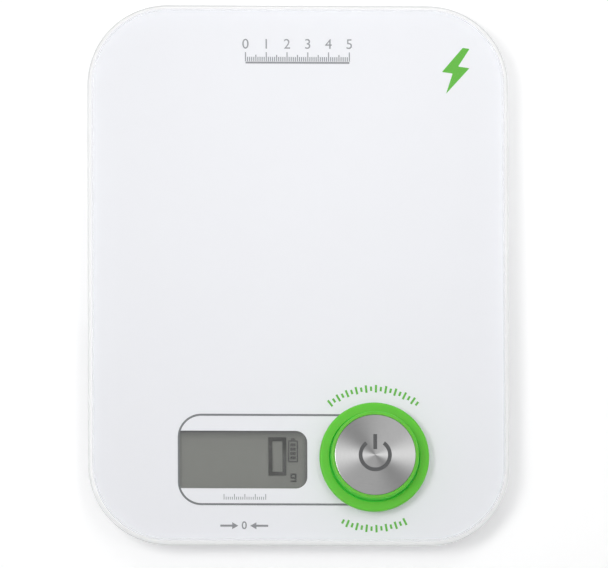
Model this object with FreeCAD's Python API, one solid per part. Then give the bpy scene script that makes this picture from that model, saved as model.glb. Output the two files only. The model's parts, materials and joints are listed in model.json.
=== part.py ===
import FreeCAD, Part
import math
import os

from FreeCAD import Vector

os.makedirs("parts", exist_ok=True)

# X runs across the scale, Y from its front edge to its back, Z up from the feet. Lengths are in millimetres.
overrun = 1.0  # how far a cutting tool passes the face that it cuts

# Glass platform and the print on its underside
plate_width = 178.0
plate_length = 230.0
plate_thick = 4.0
plate_corner = 34.0
bevel_in = 2.0  # ground edge of the glass, across
bevel_down = 0.8
under_bevel = 0.5
print_thick = 0.2
print_inset = 0.6

# Case under the glass
case_inset = 5.0
case_wall = 2.2
cover_edge_round = 1.6
floor_thick = 2.0
cover_wall_height = 4.3  # from the floor's top to the joint
frame_height = 4.2
land_width = 6.0  # strip of the upper frame that the tape sticks to
land_thick = 1.2
tape_thick = 0.8
rib_thick = 1.2
rib_height = 1.5
long_rib_shares = (-0.6, -0.2, 0.2, 0.6)  # of half the case's inner width
cross_rib_shares = (1 / 3, 2 / 3, 1)  # of the ribs' own length
label_length = 60.0
label_width = 36.0
label_depth = 0.3

# Feet and load cells
foot_from_side = 23.0
foot_from_end = 23.0
foot_radius = 11.0
foot_thick = 2.1
foot_boss_radius = 4.0
foot_hole_radius = 6.0
foot_clear = 0.8  # air between a foot and the cover above it
pad_radius = 9.0
pad_thick = 1.4
pad_seat = 0.8  # how deep a pad sits in its foot
pad_edge_round = 0.4
cell_radius = 10.5
cell_thick = 1.4
cell_rim = 2.6
cell_slot = 1.0
cell_to_board = 0.9  # in plan
cell_to_generator = 4.8
tongue_neck = 6.0
gauge_length = 5.0
gauge_width = 3.4
gauge_thick = 0.3
retainer_thick = 2.0
retainer_rim = 3.4
retainer_screw_turn = 30.0  # degrees round the cell

# Screws: shank radius, head radius, head height
case_screw = (1.3, 2.8, 1.1)
small_screw = (0.9, 1.6, 0.9)
case_screw_bite = 6.5
small_screw_bite = 1.3
boss_radius = 3.5
boss_from_wall = 2.5
boss_gap = 0.1
boss_spacing = 50.0
head_clear = 0.3

# Start button and the ring round it
button_from_front = 37.2
ring_height = 2.2
ring_edge_round = 0.9
ring_spigot_wall = 1.05
ring_spigot_depth = 5.0
ring_lip = 3.0  # how far the ring covers the glass round its spigot
hole_clear = 0.2
print_hole_clear = 0.4
button_rise = 8.5  # top of the button above the glass
button_side_clear = 0.55  # between the button's upper part and the ring's bore
button_guide_clear = 0.08
button_flange_inset = 0.2  # from the spigot's outside
button_flange_thick = 1.2
button_stop_clear = 0.2
button_step_drop = 1.7  # how far the guided part starts below the ring's top
button_wall = 1.5
button_edge_round = 0.9
button_travel = 4.0
disc_inset = 1.5  # from the button's outside
disc_thick = 0.8
disc_clear = 0.05
disc_edge = 0.25
cap_web = 1.6  # plastic under the steel disc

# Display window, the outline printed round it, and the display
window_to_ring = 4.9
window_from_front = 24.4
window_height = 24.5
window_corner = 4.7
panel_margin = 0.1  # from the window's left end to the outline's
panel_from_front = 17.2
panel_height = 38.9
panel_corner = 10.0
display_margin = 2.0
display_thick = 1.8
display_clear = 0.1
holder_wall = 1.1
holder_ledge = 2.0
holder_ledge_thick = 1.2
strip_width = 2.0
strip_inset = 5.0  # from the display's ends

# Circuit board
board_left_of_display = 1.6
board_right_of_display = 2.4
board_from_front = 11.5
board_thick = 1.2
post_radius = 2.4
post_height = 3.1
post_inset = 3.4
capacitor_radius = 6.2
capacitor_height = 4.2
capacitor_round = 0.5
chip_side = 8.0
chip_height = 1.2
diode_length = 3.4
diode_width = 1.8
diode_height = 1.3
diode_pitch = 3.2
diode_count = 4
part_gap = 1.05  # round the capacitor, and at the board's ends
socket_width_share = 0.55  # of the sockets' pitch
socket_length = 4.0
socket_from_post = 2.95
socket_names = ("front_left", "back_left", "back_right", "front_right", "generator")
electrode_width = 24.0
electrode_length = 6.0
electrode_thick = 0.2
electrode_from_front = 14.9
contact_radius = 1.8

# Held wires
wire_radius = 0.6
wire_turn = 4.0
wire_lane = 6.0  # distance between wires that run side by side

# Generator: places are measured from the button's axis, with the gear shafts along X
generator_plate = 1.5
generator_ledge = 1.9  # how far its base plate passes the button's inside
side_thick = 1.0
left_side = -10.08
right_side = 7.4
side_front = -9.5
side_back = 13.44
side_clear = 0.3  # between the left side's back corner and the button's inside
side_top_gap = 0.5  # under the cap when it is pressed
spacer_radius = 0.8
spacer_inset = 0.9  # from the side plates' back edges
tab_length = 3.0
tooth_module = 0.4
pressure_angle = 25.0
tooth_backlash = 0.07
addendum_share = 0.8
dedendum_share = 1.05
first_pinion_teeth = 16
first_wheel_teeth = 30
second_pinion_teeth = 10
second_wheel_teeth = 26
rotor_pinion_teeth = 9
first_shaft_y = -6.5
rack_left = -2.0
rack_right = 1.0
rack_back = 2.6
rack_clear = 0.6  # under the rack when the button is pressed
first_wheel_left = 1.6
wheel_width = 1.4
wheel_gap = 0.8
pin_radius = 1.0
pin_clear = 0.04
shaft_radius = 0.75
bush_radius = 1.5
bush_overhang = 0.2
magnet_radius = 4.0
magnet_left = -7.6
magnet_width = 4.4
magnet_air = 0.4
stator_left = -6.9
stator_width = 2.8
stator_arm = 2.2
stator_yoke = 2.6
stator_front = -7.0
pole_reach = 3.0
pole_gap = 3.0
bobbin_wall = 0.4
bobbin_clear = 0.1
bobbin_flange = 1.5
coil_depth = 1.0
generator_screw_inset = 2.7
generator_screw_first = -90.0  # degrees round the button's axis
generator_screw_count = 3

# Return springs
spring_from_wall = 1.35
spring_radius = 2.2
spring_wire = 0.5
spring_turns = 9
spring_peg_radius = 1.5
spring_peg = 2.0

# Levels
pad_face = 0.0
foot_bottom = pad_face + pad_thick - pad_seat
foot_top = foot_bottom + foot_thick
cover_bottom = foot_top + foot_clear
floor_top = cover_bottom + floor_thick
joint_level = floor_top + cover_wall_height
frame_top = joint_level + frame_height
tape_top = frame_top + tape_thick
plate_bottom = tape_top + print_thick
plate_top = plate_bottom + plate_thick
rib_top = floor_top + rib_height
cell_top = floor_top + cell_thick
board_bottom = floor_top + post_height
board_top = board_bottom + board_thick
wire_level = rib_top + wire_radius

# Radii round the button's axis: the generator stands inside the button, and the button inside the ring
cap_hollow = math.hypot(left_side, side_back) + side_clear
button_radius = cap_hollow + button_wall
disc_radius = button_radius - disc_inset
ring_bore = button_radius + button_side_clear
ring_spigot_radius = ring_bore + ring_spigot_wall
ring_radius = ring_spigot_radius + ring_lip
button_flange_radius = ring_spigot_radius - button_flange_inset
generator_radius = cap_hollow + generator_ledge
generator_screw_radius = generator_radius - generator_screw_inset
spring_from_axis = cap_hollow - spring_from_wall - spring_radius - spring_wire / 2

# Places in plan
half_width = plate_width / 2
half_length = plate_length / 2
button_x = half_width - foot_from_side - cell_radius - cell_to_generator - generator_radius
button_y = button_from_front - half_length
foot_x = half_width - foot_from_side
foot_y = half_length - foot_from_end
board_left = foot_from_side + cell_radius + cell_to_board - half_width
display_left = board_left + board_left_of_display
window_left = display_left + display_margin
window_right = button_x - ring_radius - window_to_ring
display_right = window_right + display_margin
board_right = display_right + board_right_of_display
window_front = window_from_front - half_length
window_back = window_front + window_height
display_front = window_front - display_margin
display_back = window_back + display_margin
holder_back = display_back + display_clear + holder_wall
board_front = board_from_front - half_length
board_back = holder_back + 2 * (part_gap + capacitor_radius) + small_screw[1] + post_inset
corners = {
    "front_left": (-foot_x, -foot_y),
    "front_right": (foot_x, -foot_y),
    "back_left": (-foot_x, foot_y),
    "back_right": (foot_x, foot_y),
}


def box(x0, x1, y0, y1, z0, z1):
    return Part.makeBox(x1 - x0, y1 - y0, z1 - z0, Vector(x0, y0, z0))


def disc(x, y, radius, z0, z1):
    return Part.makeCylinder(radius, z1 - z0, Vector(x, y, z0))


def ring(x, y, outer, inner, z0, z1):
    return disc(x, y, outer, z0, z1).cut(disc(x, y, inner, z0 - overrun, z1 + overrun))


def rod(radius, x0, x1, y, z):
    """A round bar along X."""
    return Part.makeCylinder(radius, x1 - x0, Vector(x0, y, z), Vector(1, 0, 0))


def sleeve(outer, inner, x0, x1, y, z):
    return rod(outer, x0, x1, y, z).cut(rod(inner, x0 - overrun, x1 + overrun, y, z))


def join(first, *others):
    return first.fuse(list(others)).removeSplitter()


def rounded_outline(x0, x1, y0, y1, radius, z):
    """A closed outline at height z, its four corners arcs of one radius."""
    slant = radius * (1 - math.sqrt(0.5))
    ends = [
        (x1 - radius, y0, x1 - slant, y0 + slant, x1, y0 + radius),
        (x1, y1 - radius, x1 - slant, y1 - slant, x1 - radius, y1),
        (x0 + radius, y1, x0 + slant, y1 - slant, x0, y1 - radius),
        (x0, y0 + radius, x0 + slant, y0 + slant, x0 + radius, y0),
    ]
    edges = []
    for number, (ax, ay, bx, by, cx, cy) in enumerate(ends):
        edges.append(Part.Arc(Vector(ax, ay, z), Vector(bx, by, z), Vector(cx, cy, z)).toShape())
        nx, ny = ends[(number + 1) % len(ends)][:2]
        edges.append(Part.LineSegment(Vector(cx, cy, z), Vector(nx, ny, z)).toShape())
    return Part.Wire(edges)


def rounded_prism(x0, x1, y0, y1, radius, z0, z1):
    face = Part.Face(rounded_outline(x0, x1, y0, y1, radius, z0))
    return face.extrude(Vector(0, 0, z1 - z0))


def plate_shape(inset, z0, z1):
    """A prism with the glass's outline, drawn in by inset on every side."""
    x, y = half_width - inset, half_length - inset
    return rounded_prism(-x, x, -y, y, plate_corner - inset, z0, z1)


def plate_taper(inset0, z0, inset1, z1):
    """The same outline, tapering from one inset to another."""
    wires = []
    for inset, z in ((inset0, z0), (inset1, z1)):
        x, y = half_width - inset, half_length - inset
        wires.append(rounded_outline(-x, x, -y, y, plate_corner - inset, z))
    return Part.makeLoft(wires, True, True)


def round_rims(shape, amount, z, radius):
    """Rounds the circular edges of one radius that lie at height z."""
    rims = [
        edge
        for edge in shape.Edges
        if isinstance(edge.Curve, Part.Circle)
        and math.isclose(edge.Curve.Radius, radius, rel_tol=1e-6)
        and math.isclose(edge.CenterOfMass.z, z, rel_tol=1e-6, abs_tol=1e-6)
    ]
    return shape.makeFillet(amount, rims)


def screw(x, y, head_bottom, sizes, bite, upward=False):
    """A pan-head screw. Its head lies above head_bottom, or below it if the screw points upward."""
    shank, head, height = sizes
    way = -1 if upward else 1
    low, high = sorted((head_bottom, head_bottom + way * height))
    end, start = sorted((head_bottom - way * bite, head_bottom))
    return join(disc(x, y, head, low, high), disc(x, y, shank, end, start))


def save(name, *solids):
    shape = solids[0] if len(solids) == 1 else Part.makeCompound(list(solids))
    shape.exportStep(f"parts/{name}.step")


# Glass, print and tape


def make_plate():
    slab = plate_taper(under_bevel, plate_bottom, 0, plate_bottom + under_bevel)
    body = plate_shape(0, plate_bottom + under_bevel, plate_top - bevel_down)
    edge = plate_taper(0, plate_top - bevel_down, bevel_in, plate_top)
    # The ring's seat round the hole is a face of its own, so that the rest of the top is the weighing face.
    reach = ring_radius + hole_clear
    glass = join(slab, body, edge)
    glass = glass.cut(disc(button_x, button_y, reach, plate_bottom - overrun, plate_top + overrun))
    seat = ring(button_x, button_y, reach, ring_spigot_radius + hole_clear, plate_bottom, plate_top)
    save("glass_platform", glass.fuse(seat))


def window_shape(z0, z1):
    """The display window: square to the glass, its left end following the outline's round corners."""
    panel_left = window_left - panel_margin
    panel_front = panel_from_front - half_length
    panel = rounded_prism(panel_left, button_x, panel_front, panel_front + panel_height, panel_corner, z0, z1)
    pane = rounded_prism(window_left - panel_corner, window_right, window_front, window_back,
                         window_corner, z0, z1)
    return panel.common(pane)


def make_print():
    low, high = tape_top, plate_bottom
    layer = plate_shape(print_inset, low, high)
    hole = disc(button_x, button_y, ring_spigot_radius + print_hole_clear, low - overrun, high + overrun)
    save("print_layer", layer.cut(hole).cut(window_shape(low - overrun, high + overrun)))


def make_tape():
    outside = plate_shape(case_inset, frame_top, tape_top)
    inside = plate_shape(case_inset + land_width, frame_top - overrun, tape_top + overrun)
    save("glass_tape", outside.cut(inside))


# Case


def boss_places():
    x = half_width - case_inset - case_wall - boss_from_wall
    return [(side * x, row * boss_spacing) for side in (-1, 1) for row in (-1, 0, 1)]


def make_upper_frame():
    wall_inset = case_inset + case_wall
    wall = plate_shape(case_inset, joint_level, frame_top)
    wall = wall.cut(plate_shape(wall_inset, joint_level - overrun, frame_top + overrun))
    land = plate_shape(case_inset, frame_top - land_thick, frame_top)
    land = land.cut(plate_shape(case_inset + land_width, joint_level, frame_top + overrun))
    frame = join(wall, land)
    inner = plate_shape(case_inset + case_wall / 2, floor_top, frame_top)
    cover_wall = plate_shape(0, floor_top - overrun, joint_level).cut(
        plate_shape(wall_inset + boss_gap, floor_top - overrun, joint_level)
    )
    for x, y in boss_places():
        boss = disc(x, y, boss_radius, floor_top + boss_gap, frame_top).common(inner).cut(cover_wall)
        frame = join(frame, boss)
    for x, y in boss_places():
        frame = frame.cut(disc(x, y, case_screw[0], floor_top, case_screw_seat() + case_screw_bite))
    save("upper_frame", frame)


def case_screw_seat():
    return cover_bottom + case_screw[2]


def generator_screw_places():
    places = []
    for number in range(generator_screw_count):
        turn = math.radians(generator_screw_first + number * 360 / generator_screw_count)
        x = button_x + generator_screw_radius * math.cos(turn)
        places.append((x, button_y + generator_screw_radius * math.sin(turn)))
    return places


def retainer_screw_places(x, y):
    """Two screws across each load cell, clear of the wire."""
    reach = cell_radius - cell_rim / 2
    turn = math.radians(retainer_screw_turn)
    inward = -1 if x > 0 else 1
    dx, dy = inward * reach * math.cos(turn), -reach * math.sin(turn)
    return [(x + dx, y + dy), (x - dx, y - dy)]


def post_places():
    xs = (board_left + post_inset, board_right - post_inset)
    ys = (board_front + post_inset, board_back - post_inset)
    return [(x, y) for x in xs for y in ys]


def make_cover():
    outside = plate_shape(case_inset, cover_bottom, joint_level)
    low_edges = [edge for edge in outside.Edges if edge.BoundBox.ZMax < cover_bottom + floor_thick / 2]
    outside = outside.makeFillet(cover_edge_round, low_edges)
    cover = outside.cut(plate_shape(case_inset + case_wall, floor_top, joint_level + overrun))

    inner_x = half_width - case_inset - case_wall
    rib_front = board_back + socket_length
    rib_back = foot_y - cell_radius - rib_thick
    ribs = [box(x - rib_thick / 2, x + rib_thick / 2, rib_front, rib_back, floor_top, rib_top)
            for x in (inner_x * share for share in long_rib_shares)]
    ribs += [box(-inner_x, inner_x, y - rib_thick / 2, y + rib_thick / 2, floor_top, rib_top)
             for y in (rib_front + share * (rib_back - rib_front) for share in cross_rib_shares)]
    for x, y in boss_places():
        clear = disc(x, y, boss_radius + boss_gap, floor_top, rib_top + overrun)
        ribs = [rib.cut(clear) for rib in ribs]
    posts = [disc(x, y, post_radius, floor_top, board_bottom) for x, y in post_places()]
    cover = join(cover, *ribs, *posts)

    for x, y in boss_places():
        cover = cover.cut(disc(x, y, case_screw[0], cover_bottom, floor_top + overrun))
        cover = cover.cut(disc(x, y, case_screw[1] + head_clear, cover_bottom - overrun, case_screw_seat()))
    for x, y in corners.values():
        cover = cover.cut(disc(x, y, foot_hole_radius, cover_bottom - overrun, floor_top + overrun))
        for sx, sy in retainer_screw_places(x, y):
            cover = cover.cut(disc(sx, sy, small_screw[0], floor_top - small_screw_bite, floor_top + overrun))
    for x, y in generator_screw_places():
        cover = cover.cut(disc(x, y, small_screw[0], floor_top - small_screw_bite, floor_top + overrun))
    for x, y in post_places():
        cover = cover.cut(disc(x, y, small_screw[0], board_bottom - small_screw_bite, board_bottom + overrun))
    label = box(-label_length / 2, label_length / 2, -label_width / 2, label_width / 2,
                cover_bottom - overrun, cover_bottom + label_depth)
    save("bottom_cover", cover.cut(label))
    save("cover_screws", *[screw(x, y, case_screw_seat(), case_screw, case_screw_bite, True)
                           for x, y in boss_places()])


# Feet and load cells


def make_foot(name, x, y):
    outward = 1 if x > 0 else -1
    flange = disc(x, y, foot_radius, foot_bottom, foot_top)
    flange = round_rims(flange, foot_thick / 3, foot_bottom, foot_radius)
    boss = disc(x, y, foot_boss_radius, foot_top, floor_top)
    seat = disc(x, y, pad_radius, foot_bottom - overrun, foot_bottom + pad_seat)
    save(f"foot_{name}", join(flange, boss).cut(seat))

    pad = disc(x, y, pad_radius, pad_face, pad_face + pad_thick)
    save(f"foot_pad_{name}", round_rims(pad, pad_edge_round, pad_face, pad_radius))

    slot_outer = cell_radius - cell_rim
    slot = ring(x, y, slot_outer, slot_outer - cell_slot, floor_top - overrun, cell_top + overrun)
    near, far = sorted((x, x + outward * slot_outer))
    slot = slot.cut(box(near, far, y - tongue_neck / 2, y + tongue_neck / 2, floor_top, cell_top))
    plate = disc(x, y, cell_radius, floor_top, cell_top).cut(slot)
    retainer = ring(x, y, cell_radius, cell_radius - retainer_rim, cell_top, cell_top + retainer_thick)
    for sx, sy in retainer_screw_places(x, y):
        hole = disc(sx, sy, small_screw[0], floor_top - overrun, cell_top + retainer_thick + overrun)
        plate = plate.cut(hole)
        retainer = retainer.cut(hole)
    save(f"load_cell_{name}", plate)
    save(f"cell_retainer_{name}", retainer)


def gauge(x, y):
    outward = 1 if x > 0 else -1
    middle = x + outward * (cell_radius - cell_rim - cell_slot) / 2
    return box(middle - gauge_length / 2, middle + gauge_length / 2,
               y - gauge_width / 2, y + gauge_width / 2, cell_top, cell_top + gauge_thick)


def make_feet():
    for name, (x, y) in corners.items():
        make_foot(name, x, y)
    save("strain_gauges", *[gauge(x, y) for x, y in corners.values()])
    head = cell_top + retainer_thick
    bite = head - floor_top + small_screw_bite
    save("retainer_screws", *[screw(sx, sy, head, small_screw, bite)
                              for x, y in corners.values() for sx, sy in retainer_screw_places(x, y)])


# Start button


def button_levels():
    """Underside of the cap's top, and the lower end of its skirt, at rest."""
    under = plate_top + button_rise - disc_thick - cap_web
    stop = plate_top - ring_spigot_depth - button_stop_clear
    return under, stop - button_flange_thick


def make_button():
    top = plate_top + button_rise
    under, low = button_levels()
    guide = ring_bore - button_guide_clear
    step = plate_top + ring_height - button_step_drop
    cap = disc(button_x, button_y, button_radius, step, top)
    cap = round_rims(cap, button_edge_round, top, button_radius)
    skirt = disc(button_x, button_y, guide, low, step)
    flange = disc(button_x, button_y, button_flange_radius, low, low + button_flange_thick)
    hollow = disc(button_x, button_y, cap_hollow, low - overrun, under)
    seat = disc(button_x, button_y, disc_radius + disc_clear, top - disc_thick, top + overrun)
    cap = join(cap, skirt, flange).cut(hollow).cut(seat)
    pegs = [disc(button_x + side * spring_from_axis, button_y, spring_peg_radius, under - spring_peg, under)
            for side in (-1, 1)]
    save("button_cap", join(cap, *pegs))

    plate = disc(button_x, button_y, disc_radius, top - disc_thick, top)
    rim = [edge for edge in plate.Edges if edge.BoundBox.ZMin > top - disc_thick / 2]
    save("steel_disc", plate.makeChamfer(disc_edge, rim))


def make_ring():
    top = plate_top + ring_height
    low = plate_top - ring_spigot_depth
    flange = disc(button_x, button_y, ring_radius, plate_top, top)
    flange = round_rims(flange, ring_edge_round, top, ring_radius)
    spigot = disc(button_x, button_y, ring_spigot_radius, low, plate_top)
    bore = disc(button_x, button_y, ring_bore, low - overrun, top + overrun)
    save("bezel_ring", join(flange, spigot).cut(bore))


def turns_of_wire(x, y, low, high, radius, wire, turns):
    """An unbroken coil about a vertical axis, each quarter turn two arcs that keep its slope."""
    climb = (high - low) / (2 * math.pi * turns)

    def at(turn):
        return Vector(x + radius * math.cos(turn), y + radius * math.sin(turn), low + climb * turn)

    def along(turn):
        return Vector(-radius * math.sin(turn), radius * math.cos(turn), climb).normalize()

    def arc(start, corner, end):
        middle = (start + end) * 0.5
        lean = start.distanceToPoint(end) / 2 / start.distanceToPoint(corner)
        return Part.Arc(start, middle + (corner - middle) * (lean / (1 + lean)), end).toShape()

    edges = []
    quarter = math.pi / 2
    for number in range(4 * turns):
        a, b = number * quarter, (number + 1) * quarter
        start, end, ahead, behind = at(a), at(b), along(a), along(b)
        chord, both = end - start, ahead + behind
        bend = 2 * (1 - ahead.dot(behind))
        reach = (math.sqrt(chord.dot(both) ** 2 + bend * chord.dot(chord)) - chord.dot(both)) / bend
        before, after = start + ahead * reach, end - behind * reach
        meet = (before + after) * 0.5
        edges += [arc(start, before, meet), arc(meet, after, end)]
    path = Part.Wire(edges)
    section = Part.Wire([Part.makeCircle(wire / 2, at(0), along(0))])
    return path.makePipeShell([section], True, False)


def make_springs():
    under, _ = button_levels()
    low = floor_top + generator_plate
    save("return_springs", *[
        turns_of_wire(button_x + side * spring_from_axis, button_y, low + spring_wire / 2,
                      under - spring_wire / 2, spring_radius, spring_wire, spring_turns)
        for side in (-1, 1)
    ])


# Gears


def pitch_radius(teeth):
    return tooth_module * teeth / 2


def gear(teeth, x0, x1, y, z, first_tooth, bore):
    """A spur gear about an axis along X, with involute flanks. first_tooth is an angle from +Y towards +Z."""
    pitch = pitch_radius(teeth)
    lean = math.radians(pressure_angle)
    base = pitch * math.cos(lean)
    tip = pitch + addendum_share * tooth_module
    root = pitch - dedendum_share * tooth_module
    half = (math.pi * tooth_module / 2 - tooth_backlash) / 2 / pitch + math.tan(lean) - lean

    def half_angle(radius):
        roll = math.acos(min(1, base / radius))
        return half - math.tan(roll) + roll

    start = max(base, root)
    radii = [start + (tip - start) * step / 4 for step in range(5)]
    flank = [(radius, half_angle(radius)) for radius in radii]
    if root < base:
        flank.insert(0, (root, half_angle(base)))
    points = []
    for number in range(teeth):
        middle = first_tooth + number * 2 * math.pi / teeth
        for radius, spread in flank:
            points.append((radius, middle - spread))
        for radius, spread in reversed(flank):
            points.append((radius, middle + spread))
    corners_at = [Vector(x0, y + r * math.cos(a), z + r * math.sin(a)) for r, a in points]
    blank = Part.Face(Part.makePolygon(corners_at + corners_at[:1])).extrude(Vector(x1 - x0, 0, 0))
    return blank.cut(rod(bore, x0 - overrun, x1 + overrun, y, z)) if bore else blank


def rack(x0, x1, pitch_line, back, low, high, tooth_centre):
    """A straight rack standing upright, its teeth pointing to +Y, with one tooth centred on tooth_centre."""
    spacing = math.pi * tooth_module
    lean = math.tan(math.radians(pressure_angle))
    half = (spacing / 2 - tooth_backlash) / 2
    out = addendum_share * tooth_module
    down = dedendum_share * tooth_module
    points = [(back, low)]
    first = math.ceil((low + half + down * lean - tooth_centre) / spacing)
    last = math.floor((high - half - down * lean - tooth_centre) / spacing)
    points.append((pitch_line - down, low))
    for number in range(first, last + 1):
        z = tooth_centre + number * spacing
        points += [(pitch_line - down, z - half - down * lean), (pitch_line + out, z - half + out * lean),
                   (pitch_line + out, z + half - out * lean), (pitch_line - down, z + half + down * lean)]
    points += [(pitch_line - down, high), (back, high)]
    outline = [Vector(x0, y, z) for y, z in points]
    return Part.Face(Part.makePolygon(outline + outline[:1])).extrude(Vector(x1 - x0, 0, 0))


# Generator

plate_level = floor_top + generator_plate
shaft_level = plate_level + magnet_radius + magnet_air + stator_arm
first_y = button_y + first_shaft_y
second_y = first_y + pitch_radius(first_wheel_teeth) + pitch_radius(second_pinion_teeth)
rotor_y = second_y + pitch_radius(second_wheel_teeth) + pitch_radius(rotor_pinion_teeth)
second_wheel_left = first_wheel_left + wheel_width + wheel_gap
left_inner = left_side + side_thick
right_inner = right_side - side_thick


def gx(x):
    """A place along X, from one measured from the button's axis."""
    return button_x + x


def make_rack():
    under, _ = button_levels()
    line = first_y - pitch_radius(first_pinion_teeth)
    low = plate_level + button_travel + rack_clear
    bar = rack(gx(rack_left), gx(rack_right), line, line - rack_back, low, under, shaft_level)
    save("button_rack", bar)


def make_gears():
    opposite = math.pi
    step_left = gx(rack_right)
    pinion = gear(first_pinion_teeth, gx(rack_left), step_left, first_y, shaft_level,
                  opposite + math.pi / first_pinion_teeth, None)
    hub = rod(pitch_radius(second_pinion_teeth), step_left, gx(first_wheel_left), first_y, shaft_level)
    wheel = gear(first_wheel_teeth, gx(first_wheel_left), gx(first_wheel_left + wheel_width), first_y,
                 shaft_level, 0, None)
    bore = rod(pin_radius + pin_clear, gx(rack_left) - overrun, gx(right_side), first_y, shaft_level)
    save("drive_gear", join(pinion, hub, wheel).cut(bore))

    pin = shaft_radius + pin_clear
    pinion = gear(second_pinion_teeth, gx(first_wheel_left), gx(second_wheel_left), second_y, shaft_level,
                  opposite + math.pi / second_pinion_teeth, None)
    wheel = gear(second_wheel_teeth, gx(second_wheel_left), gx(second_wheel_left + wheel_width), second_y,
                 shaft_level, 0, None)
    bore = rod(pin, gx(left_side), gx(right_side), second_y, shaft_level)
    save("middle_gear", join(pinion, wheel).cut(bore))

    save("rotor_pinion", gear(rotor_pinion_teeth, gx(second_wheel_left), gx(second_wheel_left + wheel_width),
                              rotor_y, shaft_level, opposite + math.pi / rotor_pinion_teeth, shaft_radius))
    save("rotor_shaft", rod(shaft_radius, gx(left_side), gx(right_side), rotor_y, shaft_level))
    save("rotor_magnet", sleeve(magnet_radius, shaft_radius, gx(magnet_left), gx(magnet_left + magnet_width),
                                rotor_y, shaft_level))
    save("gear_pins",
         rod(pin_radius, gx(rack_left), gx(right_side), first_y, shaft_level),
         rod(shaft_radius, gx(left_side), gx(right_side), second_y, shaft_level))
    save("rotor_bushes", *[
        sleeve(bush_radius, shaft_radius + pin_clear, gx(x0), gx(x1), rotor_y, shaft_level)
        for x0, x1 in ((left_side, left_inner + bush_overhang), (right_inner - bush_overhang, right_side))
    ])


def make_generator_frame():
    under, _ = button_levels()
    side_top = under - button_travel - side_top_gap
    front, back = button_y + side_front, button_y + side_back
    spacer_y, spacer_z = back - spacer_inset, plate_level + 2 * spacer_radius
    base = disc(button_x, button_y, generator_radius, floor_top, plate_level)
    left = box(gx(left_side), gx(left_inner), front, back, plate_level, side_top)
    peg_top = plate_level + spring_peg
    pegs = [disc(gx(side * spring_from_axis), button_y, spring_peg_radius, plate_level, peg_top)
            for side in (-1, 1)]
    frame = join(base, left, *pegs)
    right = box(gx(right_inner), gx(right_side), front, back, plate_level, side_top)
    tabs = [box(gx(right_inner), gx(right_side), y, y + tab_length, floor_top, plate_level)
            for y in (front + tab_length, back - 2 * tab_length)]
    for x, y in generator_screw_places():
        frame = frame.cut(disc(x, y, small_screw[0], floor_top - overrun, plate_level + overrun))
    for tab in tabs:
        frame = frame.cut(tab)
    right = join(right, *tabs)
    for x0, x1, part in ((left_side, left_inner, "frame"), (right_inner, right_side, "side")):
        start, end = gx(x0) - overrun, gx(x1) + overrun
        holes = [rod(bush_radius, start, end, rotor_y, shaft_level),
                 rod(shaft_radius, start, end, second_y, shaft_level)]
        if part == "side":
            holes.append(rod(pin_radius, start, end, first_y, shaft_level))
            right = right.cut(holes)
        else:
            frame = frame.cut(holes)
    save("generator_frame", frame)
    save("generator_side_plate", right)
    save("frame_spacer", rod(spacer_radius, gx(left_inner), gx(right_inner), spacer_y, spacer_z))
    bite = generator_plate + small_screw_bite
    screws = [screw(x, y, plate_level, small_screw, bite) for x, y in generator_screw_places()]
    save("generator_screws", *screws)


def make_stator():
    reach = magnet_radius + magnet_air + stator_arm
    x0, x1 = gx(stator_left), gx(stator_left + stator_width)
    front = button_y + stator_front
    back = rotor_y + pole_reach
    window_back = rotor_y - pole_reach
    low, high = shaft_level - reach, shaft_level + reach
    yoke_back = front + stator_yoke
    core = box(x0, x1, front, back, low, high)
    start, end = x0 - overrun, x1 + overrun
    core = core.cut(box(start, end, yoke_back, window_back, low + stator_arm, high - stator_arm))
    core = core.cut(rod(magnet_radius + magnet_air, start, end, rotor_y, shaft_level))
    gap = pole_gap / 2
    core = core.cut(box(start, end, yoke_back, back + overrun, shaft_level - gap, shaft_level + gap))
    save("stator_core", core)

    inner, outer = bobbin_clear, bobbin_clear + bobbin_wall
    z0, z1 = low + stator_arm, high - stator_arm
    hole = box(x0 - inner, x1 + inner, front - inner, yoke_back + inner, z0 - overrun, z1 + overrun)
    core_tube = box(x0 - outer, x1 + outer, front - outer, yoke_back + outer, z0, z1)
    flange = bobbin_flange + inner
    ends = [box(x0 - flange, x1 + flange, front - flange, yoke_back + flange, a, b)
            for a, b in ((z0, z0 + bobbin_wall), (z1 - bobbin_wall, z1))]
    save("coil_bobbin", join(core_tube, *ends).cut(hole))
    wound = outer + coil_depth
    coil = rounded_prism(x0 - wound, x1 + wound, front - wound, yoke_back + wound, coil_depth,
                         z0 + bobbin_wall, z1 - bobbin_wall)
    save("stator_coil", coil.cut(core_tube))


# Display and circuit board


def make_display():
    top = tape_top - display_clear
    low = top - display_thick
    clear = display_clear
    save("display_glass", box(display_left, display_right, display_front, display_back, low, top))
    shell = box(display_left - clear - holder_wall, display_right + clear + holder_wall,
                display_front - clear - holder_wall, holder_back, board_top, top)
    pocket = box(display_left - clear, display_right + clear, display_front - clear, display_back + clear,
                 low, top + overrun)
    opening = box(display_left + holder_ledge, display_right - holder_ledge, display_front + holder_ledge,
                  display_back - holder_ledge, board_top - overrun, low + overrun)
    hollow = box(display_left, display_right, display_front, display_back, board_top - overrun,
                 low - holder_ledge_thick)
    save("display_holder", shell.cut(pocket).cut(opening).cut(hollow))
    back = display_back - holder_ledge
    left, right = display_left + strip_inset, display_right - strip_inset
    save("contact_strip", box(left, right, back - strip_width, back, board_top, low))


def socket_row():
    """The pitch of the wire sockets along the board's back edge, and their middles from the left."""
    first = board_left + post_inset + post_radius + socket_from_post
    last = board_right - post_inset - post_radius - socket_from_post
    pitch = (last - first) / len(socket_names)
    return pitch, [first + (number + 0.5) * pitch for number in range(len(socket_names))]


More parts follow.
